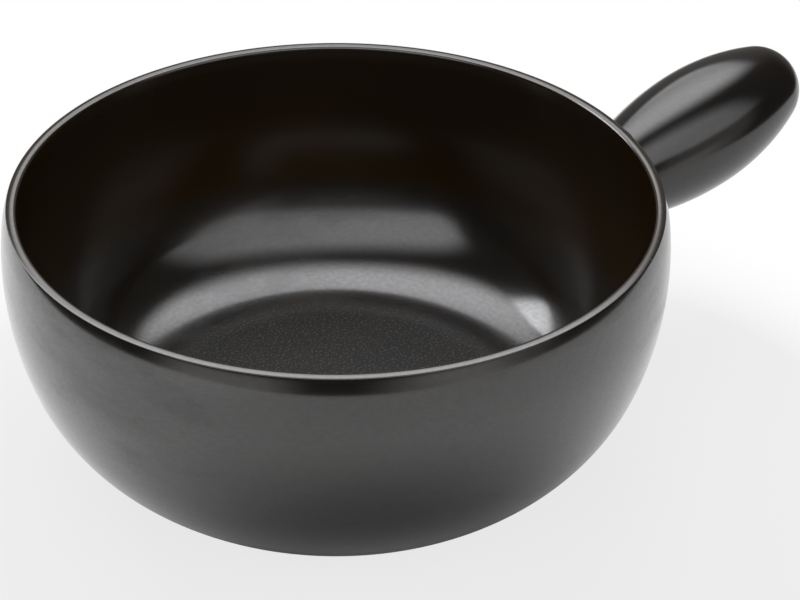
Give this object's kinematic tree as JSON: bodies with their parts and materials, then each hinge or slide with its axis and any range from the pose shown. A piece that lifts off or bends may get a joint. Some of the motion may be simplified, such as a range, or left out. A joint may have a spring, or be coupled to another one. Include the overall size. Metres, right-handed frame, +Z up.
{
  "type": "fondue pot",
  "caption": "Round black-glazed ceramic fondue pot with a full belly, a thin rounded lip and a hollow club-shaped handle that rises from its side.",
  "frame": {"origin": "middle of the foot, on the surface that the pot stands on", "axes": "+Z up along the bowl's axis, +X out along the handle"},
  "size_m": [0.3144, 0.228, 0.1017],
  "materials": {
    "bowl_glaze": "satin black glaze over stoneware, bare on the foot ring",
    "handle_glaze": "satin black glaze over stoneware",
    "joint_glaze": "satin black glaze over smoothed slip"
  },
  "bodies": {
    "root": {"bowl": "bowl_glaze", "handle": "handle_glaze", "handle_slip_joint": "joint_glaze"}
  },
  "joints": []
}
